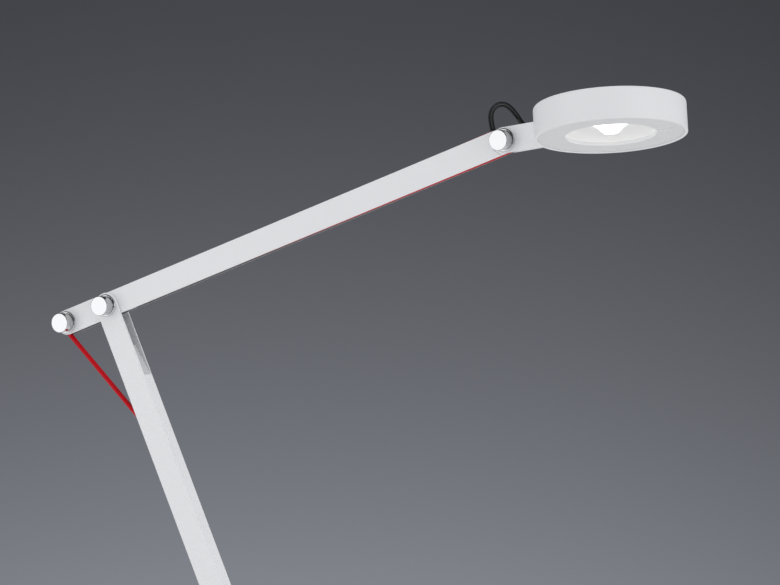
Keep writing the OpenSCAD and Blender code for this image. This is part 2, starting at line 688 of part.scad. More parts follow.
base_weight();
base_cover();
base_pad();
base_screws();
power_inlet();
inlet_nut();
swivel_bush();
swivel_post();
swivel_nut();
foot_bolt();
foot_knob();
foot_ring();
foot_cap_nut();
foot_shims();
lower_arm();
foot_plug();
slot_ramp();
elbow_bolt();
elbow_knob();
elbow_ring();
elbow_cap_nut();
elbow_shims();
balance_spring();
spring_pin();
lower_wire();
wire_joint();
upper_arm();
elbow_bush();
rear_bolt();
rear_knob();
rear_ring();
rear_cap_nut();
head_bolt();
head_knob();
head_ring();
head_cap_nut();
arm_cord();
cord_clamp();
upper_wire();
cable_grommet();
cord_wrap();
rear_pulley();
balance_cord();
cord_ferrule();
neck();
neck_spindle();
spindle_nut();
head_pulley();
cable_sleeve();
head_cable();
head_housing();
heat_sink();
led_board();
led_emitter();
led_lens();
reflector();
trim_ring();
switch_board();
switch_button();
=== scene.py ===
"""Desk lamp with a disc head: the visible surfaces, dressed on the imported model.

Sizes are in millimetres, as in the part's source, and turn into metres where a mesh is made.
"""
import math

import bpy
import numpy as np
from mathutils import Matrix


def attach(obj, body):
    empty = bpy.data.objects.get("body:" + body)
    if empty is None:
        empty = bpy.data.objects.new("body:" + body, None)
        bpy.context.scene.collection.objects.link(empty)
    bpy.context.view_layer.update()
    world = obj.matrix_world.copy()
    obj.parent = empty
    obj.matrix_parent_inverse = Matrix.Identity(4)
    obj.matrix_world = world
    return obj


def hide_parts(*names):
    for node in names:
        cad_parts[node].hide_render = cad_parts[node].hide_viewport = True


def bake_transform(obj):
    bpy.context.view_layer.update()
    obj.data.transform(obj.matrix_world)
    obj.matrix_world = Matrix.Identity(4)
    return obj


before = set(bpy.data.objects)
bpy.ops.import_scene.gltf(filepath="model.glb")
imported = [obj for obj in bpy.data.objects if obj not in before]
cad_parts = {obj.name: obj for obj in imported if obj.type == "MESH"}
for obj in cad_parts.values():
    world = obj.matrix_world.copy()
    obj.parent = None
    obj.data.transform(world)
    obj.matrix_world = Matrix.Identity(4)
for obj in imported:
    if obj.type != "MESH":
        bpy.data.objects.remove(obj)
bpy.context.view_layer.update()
scene = bpy.context.scene
MM = 0.001

# Sizes, as in the part's source
LOWER_LEAN, UPPER_RISE, NECK_RISE, HEAD_ROLL = 24.0, 20.0, 8.5, 10.0
FOOT_H, LOWER_LEN, LOWER_W, LOWER_D, LOWER_WALL = 40.0, 440.0, 20.0, 12.5, 1.5
FOLD_SLOT, REAR_SLOT, CORD_SLOT_END, CORD_SLOT_W = 62.0, 24.0, 112.0, 6.0
UPPER_LEN, REAR_LEN, ARM_H, ARM_D, CHANNEL_W, WEB_T = 368.0, 40.5, 19.0, 8.8, 5.4, 2.0
KNOB_R, KNOB_H, RING_R, RING_H, NUT_H = 7.5, 8.6, 8.7, 1.2, 3.2
CORD_R, REAR_WRAP, HEAD_WRAP = 1.8, 6.5, 8.7
CORD_ENTRY, CORD_SPARE, CLAMP_X = 92.0, 7.0, 22.0
HEAD_REACH, HEAD_R, HEAD_T, HEAD_WALL, HEAD_EDGE, ROOF_T = 84.0, 55.0, 23.6, 2.4, 2.5, 2.2
NECK_UP, NECK_D, NECK_SLOT_W, NECK_SLOT_R = 10.2, 10.3, 7.7, 11.5
NECK_LEN = HEAD_REACH - HEAD_R - 0.3
LIGHT_R, RING_LOW, RING_T = 33.0, 0.8, 2.4
BASE_R, BASE_H, COVER_WALL, COVER_EDGE, PAD_H = 100.0, 14.0, 1.2, 3.0, 1.5


class Place:
    """Origin and directions of one rigid group: x along it, z upwards across it, y away from the knobs."""

    def __init__(self, origin, rise=0.0, roll=0.0):
        a, r = math.radians(rise), math.radians(roll)
        along, upright, across = (np.array(v) for v in (
            (math.cos(a), 0, math.sin(a)), (-math.sin(a), 0, math.cos(a)), (0.0, 1.0, 0.0)))
        self.origin = np.array(origin, float)
        self.axes = np.array([along, math.cos(r) * across - math.sin(r) * upright,
                              math.cos(r) * upright + math.sin(r) * across])

    def at(self, points):
        return self.origin + np.asarray(points, float) @ self.axes

    def turned(self, vectors):
        return np.asarray(vectors, float) @ self.axes

    def moved(self, x=0.0, y=0.0, z=0.0):
        other = Place(self.at((x, y, z)))
        other.axes = self.axes
        return other


TABLE = Place((0, 0, 0))
FOOT = Place((0, 0, FOOT_H))
LOWER = Place(FOOT.origin, LOWER_LEAN)
ELBOW = LOWER.moved(z=LOWER_LEN)
UPPER = Place(ELBOW.origin, UPPER_RISE)
REAR, PIVOT = UPPER.moved(x=-REAR_LEN), UPPER.moved(x=UPPER_LEN)
NECK = Place(PIVOT.origin, NECK_RISE)
HEAD = Place(NECK.origin, NECK_RISE, HEAD_ROLL).moved(x=HEAD_REACH, z=-NECK_UP)


# Outlines

def rounded(corners, radii, steps=8, closed=True):
    """Outline of straight runs joined by arcs, travelled anticlockwise.

    Each corner with a radius becomes an arc that touches both runs, and each sharp corner becomes two
    points in one place. Returns the points, the directions in which the outline is inset and the
    outward normals.
    """
    corners = np.array(corners, float)
    count = len(corners)
    radii = np.broadcast_to(np.array(radii, float), count)
    points, mitres, normals = [], [], []
    for i, (corner, radius) in enumerate(zip(corners, radii)):
        before, after = corner - corners[i - 1], corners[(i + 1) % count] - corner
        if not closed:
            before = after if i == 0 else before
            after = before if i == count - 1 else after
        before, after = before / np.hypot(*before), after / np.hypot(*after)
        n0, n1 = (np.array((d[1], -d[0])) for d in (before, after))
        turn = math.atan2(before[0] * after[1] - before[1] * after[0], before @ after)
        if abs(turn) < 1e-6:
            arc = [(corner, n0, n0)]
        elif radius == 0:
            mitre = (n0 + n1) / (1 + n0 @ n1)
            arc = [(corner, mitre, n0), (corner, mitre, n1)]
        else:
            side = math.copysign(radius, turn)
            centre = corner - before * radius * math.tan(abs(turn) / 2) - n0 * side
            arc = []
            for phi in np.linspace(0, turn, steps + 1):
                c, s = math.cos(phi), math.sin(phi)
                n = np.array((c * n0[0] - s * n0[1], s * n0[0] + c * n0[1]))
                arc.append((centre + side * n, n, n))
        for point, mitre, normal in arc:
            points.append(point)
            mitres.append(mitre)
            normals.append(normal)
    if closed:
        points, mitres, normals = points + points[:1], mitres + mitres[:1], normals + normals[:1]
    return np.array(points), np.array(mitres), np.array(normals)


def capsule(x0, x1, z0, z1):
    """Outline of a bar in the x-z plane whose ends at x0 and x1 are half rounds reaching past them."""
    r = (z1 - z0) / 2
    return rounded([(x0 - r, z0), (x1 + r, z0), (x1 + r, z1), (x0 - r, z1)], r, 24)


# Surfaces

RIM_STEPS = 6


class Skin:
    """Patches of surface, each with its exact normals, that are welded into one object."""

    def __init__(self):
        self.points, self.normals, self.uvs, self.count = [], [], [], 0
        self.faces, self.inside = [], []

    def add(self, place, points, normals, uvs=None):
        flat = np.reshape(points, (-1, 3))
        self.points.append(place.at(flat))
        normals = np.broadcast_to(normals, np.shape(points))
        self.normals.append(place.turned(np.reshape(normals, (-1, 3))))
        self.uvs.append(np.zeros((len(flat), 2)) if uvs is None else np.reshape(uvs, (-1, 2)))
        self.count += len(flat)
        return self.count - len(flat)

    def grid(self, place, points, normals, uvs=None, inside=0):
        """A sheet of quads through a grid of points; the quads turn to face along the normals."""
        m, n = np.shape(points)[:2]
        index = np.arange(m * n).reshape(m, n)
        quads = np.stack([index[:-1, :-1], index[1:, :-1], index[1:, 1:], index[:-1, 1:]], -1)
        quads = quads.reshape(-1, 4)
        p, q = np.reshape(points, (-1, 3)), np.reshape(normals, (-1, 3))
        facing = np.cross(p[quads[:, 2]] - p[quads[:, 0]], p[quads[:, 3]] - p[quads[:, 1]])
        if np.sum(facing * q[quads].mean(1)) < 0:
            quads = quads[:, ::-1]
        self.faces += (quads + self.add(place, points, normals, uvs)).tolist()
        self.inside += [inside] * len(quads)
        return self

    def flat(self, place, loop, normal, inside=0):
        """One flat face inside a closed loop of points."""
        loop, normal = np.asarray(loop, float), np.asarray(normal, float)
        area = np.cross(loop, np.roll(loop, -1, 0)).sum(0)
        loop = loop if area @ normal > 0 else loop[::-1]
        first = self.add(place, loop, normal)
        self.faces.append(list(range(first, first + len(loop))))
        self.inside.append(inside)
        return self

    def plate(self, place, outline, y0, y1, soft0=0.0, soft1=0.0, inside=(0, 0, 0)):
        """A flat plate: the x-z outline carried from y0 to y1, with quarter rounds at its two rims.

        At the turn t of a quarter round the outline is inset by its radius times 1 - sin t, and lies
        its radius times 1 - cos t from the face. The three numbers of inside say which of the rim, the
        y0 face and the y1 face have the second finish.
        """
        p, mitre, n = outline
        rows = []
        for soft, y, sign in ((soft0, y0, -1), (soft1, y1, 1)):
            turn = np.linspace(0, math.pi / 2, RIM_STEPS) if soft else np.array([math.pi / 2])
            turn = turn if sign < 0 else turn[::-1]
            rows += [(soft * (1 - math.sin(t)), y - sign * soft * (1 - math.cos(t)), math.sin(t),
                      sign * math.cos(t)) for t in turn]
        inset, y, out, over = (np.array(v)[:, None] for v in zip(*rows))
        x, z = (p[None, :, k] - inset * mitre[None, :, k] for k in (0, 1))
        points = np.stack([x, np.broadcast_to(y, x.shape), z], -1)
        normals = np.stack([out * n[None, :, 0], np.broadcast_to(over, x.shape), out * n[None, :, 1]], -1)
        self.grid(place, points, normals, inside=inside[0])
        self.flat(place, points[0, :-1], (0, -1, 0), inside[1])
        return self.flat(place, points[-1, :-1], (0, 1, 0), inside[2])

    def turned(self, place, outline, axis="z", count=96):
        """A turned piece: a profile of radius and height carried round z, or round -y towards the knobs.

        At the turn a its points are radius times cos a, radius times sin a, and height.
        """
        p, _, n = outline
        a = np.linspace(0, 2 * math.pi, count + 1)[:, None]

        def carried(pairs):
            c, s = pairs[None, :, 0] * np.cos(a), pairs[None, :, 0] * np.sin(a)
            h = pairs[None, :, 1] + 0 * a
            return np.stack([c, s, h] if axis == "z" else [c, -h, s], -1)
        return self.grid(place, carried(p), carried(n))

    def tube(self, place, path, radius, across=(0, 1, 0), around=16):
        """A round cord: circles carried along a path, square to it.

        At the turn a a circle's point is radius times cos a to the side and radius times sin a upwards.
        The UV map is length in millimetres and turns round.
        """
        path = np.asarray(path, float)
        tangent = np.gradient(path, axis=0)
        tangent /= np.linalg.norm(tangent, axis=1)[:, None]
        side = np.cross(across, tangent)
        side /= np.linalg.norm(side, axis=1)[:, None]
        up = np.cross(tangent, side)
        a = np.linspace(0, 2 * math.pi, around + 1)
        out = np.cos(a)[None, :, None] * side[:, None] + np.sin(a)[None, :, None] * up[:, None]
        points = path[:, None] + out * np.reshape(radius, (-1, 1, 1))
        run = np.concatenate([[0], np.cumsum(np.linalg.norm(np.diff(path, axis=0), axis=1))])
        uvs = np.stack(np.broadcast_arrays(run[:, None], a[None] / (2 * math.pi)), -1)
        self.grid(place, points, out, uvs)
        self.flat(place, points[0, :-1], -tangent[0])
        return self.flat(place, points[-1, :-1], tangent[-1])

    def make(self, name, finish, *nodes):
        """Welds the patches, gives each face corner its exact normal and returns the object."""
        finishes = finish if isinstance(finish, tuple) else (finish,)
        points, normals, uvs = (np.concatenate(v) for v in (self.points, self.normals, self.uvs))
        _, first, weld = np.unique(np.round(points, 4), axis=0, return_index=True, return_inverse=True)
        weld = weld.reshape(-1)
        faces, corners, inside = [], [], []
        for face, kind in zip(self.faces, self.inside):
            kept = [i for k, i in enumerate(face) if weld[i] != weld[face[k - 1]]]
            if len(kept) > 2:
                faces.append(weld[kept].tolist())
                corners += kept
                inside.append(kind)
        mesh = bpy.data.meshes.new(name)
        mesh.from_pydata((points[first] * MM).tolist(), [], faces)
        mesh.polygons.foreach_set("use_smooth", np.ones(len(faces), bool))
        layer = mesh.uv_layers.new(name="length_and_turn")
        layer.data.foreach_set("uv", uvs[corners].astype(np.float32).ravel())
        mesh.normals_split_custom_set(normals[corners].tolist())
        mesh.polygons.foreach_set("material_index", np.array(inside, np.int32))
        for surface in finishes:
            mesh.materials.append(surface)
        mesh.update()
        obj = bpy.data.objects.new(name, mesh)
        scene.collection.objects.link(obj)
        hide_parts(*nodes)
        return obj


# Finishes

class Value:
    """A number in a shader. Python's operators on it add Math nodes."""

    def __init__(self, look, socket):
        self.look, self.socket = look, socket

    def maths(self, operation, *values):
        node = self.look.node("ShaderNodeMath", {"operation": operation}, dict(enumerate(values)))
        return Value(self.look, node.outputs[0])

    def __add__(self, other):
        return self.maths("ADD", self, other)

    def __radd__(self, other):
        return self.maths("ADD", other, self)

    def __sub__(self, other):
        return self.maths("SUBTRACT", self, other)

    def __rsub__(self, other):
        return self.maths("SUBTRACT", other, self)

    def __mul__(self, other):
        return self.maths("MULTIPLY", self, other)

    def __rmul__(self, other):
        return self.maths("MULTIPLY", other, self)

    def sine(self):
        return self.maths("SINE", self)

    def clamped(self, low, high):
        return self.maths("MINIMUM", self.maths("MAXIMUM", self, low), high)


class Look:
    """One finish, or the world: a material's Principled surface has its constants on its own sockets."""

    def __init__(self, name, world=False, **constants):
        self.owner = bpy.data.worlds.new(name) if world else bpy.data.materials.new(name)
        self.owner.use_nodes = True
        self.tree = self.owner.node_tree
        self.tree.nodes.clear()
        if not world:
            self.surface = self.node("ShaderNodeBsdfPrincipled")
            self.feed(**constants)
            self.node("ShaderNodeOutputMaterial", {}, {"Surface": self.surface.outputs[0]})
            self.owner.diffuse_color = constants["Base_Color"]

    def node(self, kind, settings=None, inputs=None):
        """Any node: its settings are set first, and then the values or links of its sockets."""
        node = self.tree.nodes.new(kind)
        for name, value in (settings or {}).items():
            setattr(node, name, value)
        for name, value in (inputs or {}).items():
            self.link(node.inputs[name], value)
        return node

    def link(self, socket, value):
        if isinstance(value, Value):
            value = value.socket
        if isinstance(value, bpy.types.NodeSocket):
            self.tree.links.new(value, socket)
        else:
            socket.default_value = value

    def noise(self, scale, detail, rough=0.5):
        """Noise on Object coordinates, which are metres on every piece. Its lumps are 1 / scale across."""
        place = self.node("ShaderNodeTexCoord").outputs["Object"]
        node = self.node("ShaderNodeTexNoise", {}, {"Vector": place, "Scale": scale, "Detail": detail,
                                                    "Roughness": rough})
        return Value(self, node.outputs[0])

    def blend(self, share, a, b):
        """The colour a where share is 0, and b where it is 1."""
        node = self.node("ShaderNodeMix", {"data_type": "RGBA"}, {0: share, 6: a, 7: b})
        return node.outputs[2]

    def feed(self, **values):
        """Sets or links the surface's sockets, which are named with _ for a blank."""
        for name, value in values.items():
            self.link(self.surface.inputs[name.replace("_", " ")], value)

    def bump(self, height, distance, strength):
        """Ends the finish with a bump of distance metres and returns its material."""
        node = self.node("ShaderNodeBump", {}, {"Height": height, "Distance": distance,
                                                "Strength": strength})
        self.link(self.surface.inputs["Normal"], node.outputs[0])
        return self.owner


def rgb(red, green, blue):
    return (red, green, blue, 1.0)


def dimmed(colour, share):
    return tuple(share * c for c in colour[:3]) + (1.0,)


def powder_coat(name, colour, rough=0.42):
    """Satin powder coat: a fine orange-peel bump, a faint cloudiness and a clear top."""
    look = Look(name, Base_Color=colour, Roughness=rough, Coat_Weight=0.08, Coat_Roughness=0.25)
    cloud, peel = look.noise(28.0, 3.0), look.noise(1500.0, 2.0)
    look.feed(Base_Color=look.blend(cloud.clamped(0, 1), dimmed(colour, 0.965), colour),
              Roughness=rough - 0.05 + 0.1 * cloud)
    return look.bump(peel, 0.00002, 0.5)


def machined(name, colour, rough, grain_scale):
    """Machined metal: a fine grain and a faint smear make its gloss uneven."""
    look = Look(name, Base_Color=colour, Metallic=1.0, Roughness=rough)
    smear, grain = look.noise(90.0, 3.0), look.noise(grain_scale, 2.0, 0.6)
    look.feed(Base_Color=look.blend(smear.clamped(0, 1), dimmed(colour, 0.93), colour),
              Roughness=rough - 0.03 + 0.06 * smear + 0.03 * grain)
    return look.bump(grain, 0.000006, 0.35)


def moulded(name, colour, rough, grain=1200.0, depth=0.00002, clear=0.0, glow=None):
    """Moulded plastic or rubber: a fine spark-eroded grain with slightly uneven gloss.

    A glow is a colour and a strength.
    """
    look = Look(name, Base_Color=colour, Roughness=rough, Coat_Weight=clear)
    fine, cloud = look.noise(grain, 3.0), look.noise(60.0, 2.0)
    look.feed(Base_Color=look.blend(cloud.clamped(0, 1), dimmed(colour, 0.92), colour),
              Roughness=rough - 0.05 + 0.1 * fine)
    if glow:
        look.feed(Emission_Color=glow[0], Emission_Strength=glow[1])
    return look.bump(fine, depth, 0.4)


WEAVE_PITCH, WEAVE_STRANDS = 2.2, 6


def braided(name, colour, dark):
    """Braided cord: two sets of strands cross on the cord's own length and turn.

    The weave is half of 1 plus the product of two sines: one of length plus turn and one of length
    less turn, with a whole wave in each pitch and one for each strand round the cord.
    """
    look = Look(name, Base_Color=colour, Roughness=0.5, Specular_IOR_Level=0.12)
    uv = look.node("ShaderNodeUVMap", {"uv_map": "length_and_turn"}).outputs[0]
    parts = look.node("ShaderNodeSeparateXYZ", {}, {0: uv}).outputs
    run = Value(look, parts[0]) * (2 * math.pi / WEAVE_PITCH)
    turn = Value(look, parts[1]) * (2 * math.pi * WEAVE_STRANDS)
    weave = ((run + turn).sine() * (run - turn).sine() * 0.5 + 0.5).clamped(0, 1)
    look.feed(Base_Color=look.blend(weave, dark, colour), Roughness=0.62 - 0.16 * weave)
    return look.bump(weave, 0.00012, 0.5)


PAINT = rgb(0.80, 0.807, 0.825)
WHITE = powder_coat("white_powder_coat", PAINT)
WHITE_BASE = powder_coat("white_base_coat", PAINT, 0.45)
# Painted shade: a near-black for the faces inside the upper arm's channel and its web, where shade falls
CHANNEL_PAINTED_SHADE = powder_coat("channel_painted_shade", rgb(0.16, 0.165, 0.175), 0.6)
# Painted shade: a grey, darker than the paint, for the faces inside the lower arm's tube, where shade falls
TUBE_PAINTED_SHADE = powder_coat("tube_painted_shade", rgb(0.60, 0.61, 0.63), 0.6)
# Painted shade: a grey for the ramp deep in the lower arm's slot, darker than the paint because shade falls
# there
RAMP_PAINTED_SHADE = moulded("ramp_painted_shade", rgb(0.57, 0.575, 0.59), 0.5)
BRIGHT = machined("bright_turned_metal", rgb(0.62, 0.625, 0.635), 0.13, 900.0)
STEEL = machined("plain_steel", rgb(0.55, 0.56, 0.58), 0.35, 700.0)
SINK = machined("cast_aluminium", rgb(0.62, 0.63, 0.65), 0.5, 400.0)
IRON = moulded("cast_iron", rgb(0.05, 0.05, 0.055), 0.7, 500.0, 0.00015)
RUBBER = moulded("foot_rubber", rgb(0.02, 0.02, 0.022), 0.75, 900.0, 0.00006)
CABLE = moulded("black_cable", rgb(0.006, 0.006, 0.007), 0.5, 700.0, 0.00001)
BLACK = moulded("black_plastic", rgb(0.018, 0.018, 0.02), 0.5)
CORD = braided("red_cord", rgb(0.66, 0.004, 0.012), rgb(0.38, 0.002, 0.007))
RING = moulded("pale_ring_plastic", rgb(0.735, 0.74, 0.75), 0.5)
BUTTON = moulded("pale_button_plastic", rgb(0.84, 0.845, 0.85), 0.3, clear=0.3)
DISH = moulded("white_dish_plastic", rgb(0.87, 0.87, 0.86), 0.35, clear=0.2)
LENS = moulded("frosted_lens", rgb(0.9, 0.9, 0.87), 0.4, glow=(rgb(1.0, 0.995, 0.985), 3.4))
CHIP = moulded("light_chip", rgb(0.9, 0.75, 0.3), 0.5, glow=(rgb(1.0, 0.95, 0.85), 1.0))
BOARD = moulded("white_solder_mask", rgb(0.78, 0.79, 0.79), 0.35)
GREEN_BOARD = moulded("green_solder_mask", rgb(0.01, 0.09, 0.035), 0.35)


# Camera, lamps and floor

CAMERA_TURN, CAMERA_DROP, CAMERA_ROLL = 29.1455, -2.0229, 0.0026
CAMERA_FROM_ELBOW, SENSOR_W = (1564.56, -2361.09, 109.11), 36.0
FOCAL_PX, PICTURE_PX = 3650.9, 780.0


def aim(eye, forward, name, data, roll=0.0):
    """An object at eye, in metres, whose own -Z looks along forward.

    Its right is forward crossed with the upright, and then turned by roll radians about forward,
    which lifts its right side.
    """
    forward = np.array(forward, float) / np.linalg.norm(forward)
    level = np.cross(forward, (0, 0, 1))
    level /= np.linalg.norm(level)
    right = math.cos(roll) * level - math.sin(roll) * np.cross(level, forward)
    turn = np.eye(4)
    turn[:3, 0], turn[:3, 1], turn[:3, 2], turn[:3, 3] = right, np.cross(right, forward), -forward, eye
    obj = bpy.data.objects.new(name, data)
    scene.collection.objects.link(obj)
    obj.matrix_world = [list(row) for row in turn.T]
    return obj


def camera():
    """The photograph's camera: 29 degrees round to the right, 2 degrees downwards, long lens."""
    turn, drop = math.radians(CAMERA_TURN), math.radians(CAMERA_DROP)
    data = bpy.data.cameras.new("photo_camera")
    data.sensor_fit, data.sensor_width = "HORIZONTAL", SENSOR_W
    data.lens = SENSOR_W * FOCAL_PX / PICTURE_PX
    data.clip_start, data.clip_end = 0.1, 60.0
    forward = (-math.sin(turn) * math.cos(drop), math.cos(turn) * math.cos(drop), math.sin(drop))
    eye = (ELBOW.origin + CAMERA_FROM_ELBOW) * MM
    return aim(eye, forward, "photo_camera", data, CAMERA_ROLL)


def lamp(name, target, direction, distance, size, radiance):
    """A soft round lamp, in metres. Its power is its radiance times pi times its area."""
    data = bpy.data.lights.new(name, "AREA")
    data.shape, data.size, data.energy = "DISK", size, radiance * math.pi * math.pi * size ** 2 / 4
    direction = np.array(direction, float) / np.linalg.norm(direction)
    return aim(np.array(target) + distance * direction, -direction, name, data)


def floor(radius, sides):
    """A flat round floor."""
    a = np.linspace(0, 2 * math.pi, sides + 1)[:-1]
    mesh = bpy.data.meshes.new("floor")
    rim = np.stack([radius * np.cos(a), radius * np.sin(a), 0 * a], -1)
    mesh.from_pydata(rim.tolist(), [], [list(range(sides))])
    obj = bpy.data.objects.new("floor", mesh)
    scene.collection.objects.link(obj)
    mesh.materials.append(Look("pale_floor", Base_Color=rgb(0.82, 0.82, 0.82), Roughness=0.8).owner)


def dome():
    """The world: a dome that lights the lamp, and the backdrop that the camera and metal see.

    The light that comes from a direction is 0.66 + 0.2 y + 0.5 z squared, with z only where it is
    above level. With the ray's height h and its lean s to the right, across the photograph's view,
    the backdrop is 0.0905 - 0.793 h + 4.16 h squared, times 1 - 0.6 s - 11 s squared.
    """
    sky = Look("studio_dome", world=True)
    direction = sky.node("ShaderNodeTexCoord").outputs["Generated"]
    parts = sky.node("ShaderNodeSeparateXYZ", {}, {0: direction}).outputs
    across, behind, height = (Value(sky, part) for part in parts)
    turn = math.radians(CAMERA_TURN)
    h = height.clamped(-0.16, 0.1)
    s = (across * math.cos(turn) + behind * math.sin(turn)).clamped(-0.11, 0.11)
    backdrop = (0.0905 - 0.793 * h + 4.16 * h * h) * (1 - 0.6 * s - 11.0 * s * s)
    rays = sky.node("ShaderNodeLightPath").outputs
    camera_ray, glossy_ray, clear_ray = (Value(sky, rays["Is %s Ray" % kind])
                                         for kind in ("Camera", "Glossy", "Transmission"))
    seen = (camera_ray + glossy_ray + clear_ray).clamped(0, 1)
    over = height.clamped(0, 1)
    light = 0.66 + 0.20 * behind + 0.50 * over * over
    colour = sky.blend(seen, rgb(0.985, 0.99, 1.0), rgb(0.931, 0.968, 1.10))
    surface = sky.node("ShaderNodeBackground", {}, {"Color": colour,
                                                    "Strength": backdrop * seen + light * (1 - seen)})
    sky.node("ShaderNodeOutputWorld", {}, {0: surface.outputs[0]})
    return sky.owner


scene.camera = camera()
floor(1.5, 96)
# The first lamp stands where the flat knob faces mirror it, and the second one to the right
lamp("front_lamp", (-0.03, 0.0, 0.5), (-0.50, -0.87, 0.0), distance=3.0, size=2.5, radiance=1.46)
lamp("side_lamp", (0.1, 0.0, 0.5), (0.96, -0.25, 0.1), distance=3.0, size=2.0, radiance=1.9)
scene.world = dome()
scene.view_settings.view_transform = "Standard"


# Cords and cables

def pull_line():
    """The balance cord's straight run: it leaves the rear pulley at a tangent and enters the lower arm.

    In the lower arm's plane the run touches a circle of the wrap's radius round the rear pivot and
    passes through the entry point on the arm's left face.
    """
    a = math.radians(UPPER_RISE - LOWER_LEAN)
    pin = np.array((-REAR_LEN * math.cos(a), -REAR_LEN * math.sin(a)))
    gap = np.array((-LOWER_W / 2, -CORD_ENTRY)) - pin
    heading = math.atan2(gap[1], gap[0]) + math.asin(REAR_WRAP / np.hypot(*gap))
    foot = pin + REAR_WRAP * np.array((math.sin(heading), -math.cos(heading)))
    run = math.sqrt(gap @ gap - REAR_WRAP ** 2) + CORD_SPARE
    return foot, np.array((math.cos(heading), math.sin(heading))), run, heading


def flat_path(pairs):
    """Points in x and z at y 0."""
    pairs = np.asarray(pairs, float)
    return np.stack([pairs[:, 0], 0 * pairs[:, 0], pairs[:, 1]], -1)


def arc(centre, radius, start, stop, count):
    """Points at even angles, in degrees, on a circle: its radius times the angle's cosine and sine."""
    a = np.radians(np.linspace(start, stop, count))
    return np.stack([centre[0] + radius * np.cos(a), centre[1] + radius * np.sin(a)], -1)


def towards(start, stop, distance):
    """The point at a distance from start on the straight line to stop."""
    return start + distance * (stop - start) / np.hypot(*(stop - start))


BEND_CORD_R, UNDER_CORD_R, THINNING_RUN = 1.3, 1.65, 12.0
BEND_PULL, UNDER_PULL = 0.25, 0.05


def cords():
    """The one red cord in three pieces. It is pulled flat and thin where it bends over the head pulley."""
    foot, heading, run, angle = pull_line()
    slope = math.asin((HEAD_WRAP - REAR_WRAP) / (REAR_LEN + UPPER_LEN))
    lean = math.degrees(slope)
    low = np.array((CLAMP_X, -HEAD_WRAP + (UPPER_LEN - CLAMP_X) * math.tan(slope)))
    top = np.array((-REAR_LEN - REAR_WRAP * math.sin(slope), REAR_WRAP * math.cos(slope)))
    bend = arc((UPPER_LEN, 0), HEAD_WRAP - BEND_PULL, 90 + lean, -90 - lean, 40)
    near = towards(bend[0], top, THINNING_RUN) + (0, BEND_PULL)
    under = towards(bend[-1], low, THINNING_RUN) - (0, UNDER_PULL)
    stretches = [(np.linspace(top, near, 60), CORD_R, CORD_R),
                 (np.linspace(near, bend[0], 8), CORD_R, BEND_CORD_R),
                 (bend, BEND_CORD_R, BEND_CORD_R),
                 (np.linspace(bend[-1], under, 8), BEND_CORD_R, UNDER_CORD_R),
                 (np.linspace(under, low, 50), UNDER_CORD_R, UNDER_CORD_R)]
    path = np.concatenate([points[:-1] for points, _, _ in stretches] + [[low]])
    radius = np.concatenate([np.linspace(first, last, len(points))[:-1] for points, first, last in stretches]
                            + [[UNDER_CORD_R]])
    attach(Skin().tube(UPPER, flat_path(path), radius).make("arm_cord_braid", CORD, "arm_cord"), "upper")

    turn = LOWER_LEAN - UPPER_RISE
    start, stop = 90 + lean, math.degrees(angle) + 270 + turn
    wrap = Skin().tube(REAR, flat_path(arc((0, 0), REAR_WRAP, start, stop, 40)), CORD_R)
    wrap = wrap.make("cord_wrap_braid", CORD, "cord_wrap")
    ends = [REAR.at(p) * MM for p in flat_path(arc((0, 0), REAR_WRAP, start, stop, 2))]
    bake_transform(wrap)

    line = flat_path(foot + np.linspace(0, run, 60)[:, None] * heading)
    pull = Skin().tube(ELBOW, line, CORD_R).make("balance_cord_braid", CORD, "balance_cord")
    ELBOW.at(line[0]) * MM
    ELBOW.at(line[-1]) * MM
    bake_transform(pull)


def smooth_path(knots, steps):
    """Cubic through the knots: each stretch leaves a knot along the line between its neighbours."""
    knots = np.asarray(knots, float)
    a, b, c, d = (knots[np.clip(np.arange(len(knots) - 1) + k, 0, len(knots) - 1)][:, None]
                  for k in (-1, 0, 1, 2))
    t = (np.arange(steps) / steps)[None, :, None]
    curve = 0.5 * (2 * b + (c - a) * t + (2 * a - 5 * b + 4 * c - d) * t ** 2
                   + (3 * b - a - 3 * c + d) * t ** 3)
    return np.concatenate([curve.reshape(-1, 2), knots[-1:]])


CABLE_Y, CABLE_PITCH, CABLE_X, CABLE_END, STRAND_R = 2.9, 2.4, -9.9, (8.4, 15.2), 0.92
PINCH = 0.25


def head_cable():
    """Two round strands side by side, which stand up from the arm and arch over the head pivot.

    The strands run half a pitch to either side of a path through chosen points. Towards the neck they
    come closer by the pinch times the fourth power of the share of the path that is behind.
    """
    level = Place(PIVOT.origin)
    rise = math.radians(UPPER_RISE)
    start = [(CABLE_X * math.cos(rise) - h * math.sin(rise), CABLE_X * math.sin(rise) + h * math.cos(rise))
             for h in ARM_H / 2 + np.array((0.4, 1.1, 1.8))]
    knots = start + [(-14.4, 12.6), (-14.9, 17.6), (-13.4, 22), (-10, 25), (-6, 26), (-2, 25.2), (1.6, 22.8),
                     (4.6, 19.8), (7, 17), CABLE_END]
    middle = smooth_path(knots, 8)
    along = np.gradient(middle, axis=0)
    side = np.stack([-along[:, 1], along[:, 0]], -1) / np.hypot(*along.T)[:, None]
    apart = CABLE_PITCH / 2 - PINCH * (np.arange(len(middle)) / (len(middle) - 1)) ** 4
    skin = Skin()
    for s in (-1, 1):
        path = flat_path(middle + s * side * apart[:, None])
        path[:, 1] = CABLE_Y
        skin.tube(level, path, STRAND_R, around=14)
    cable = skin.make("twin_cable", CABLE, "head_cable")
    level.at((start[0][0], CABLE_Y, start[0][1])) * MM
    level.at((CABLE_END[0], CABLE_Y, CABLE_END[1])) * MM
    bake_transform(cable)


cords()
head_cable()


# Pivots

RING_HOLE_R, NUT_R, SEAT_GAP = 3.05, 6.0, 0.05
GROOVE_R, GROOVE_H, SKIRT_H = 7.1, 0.25, 0.45


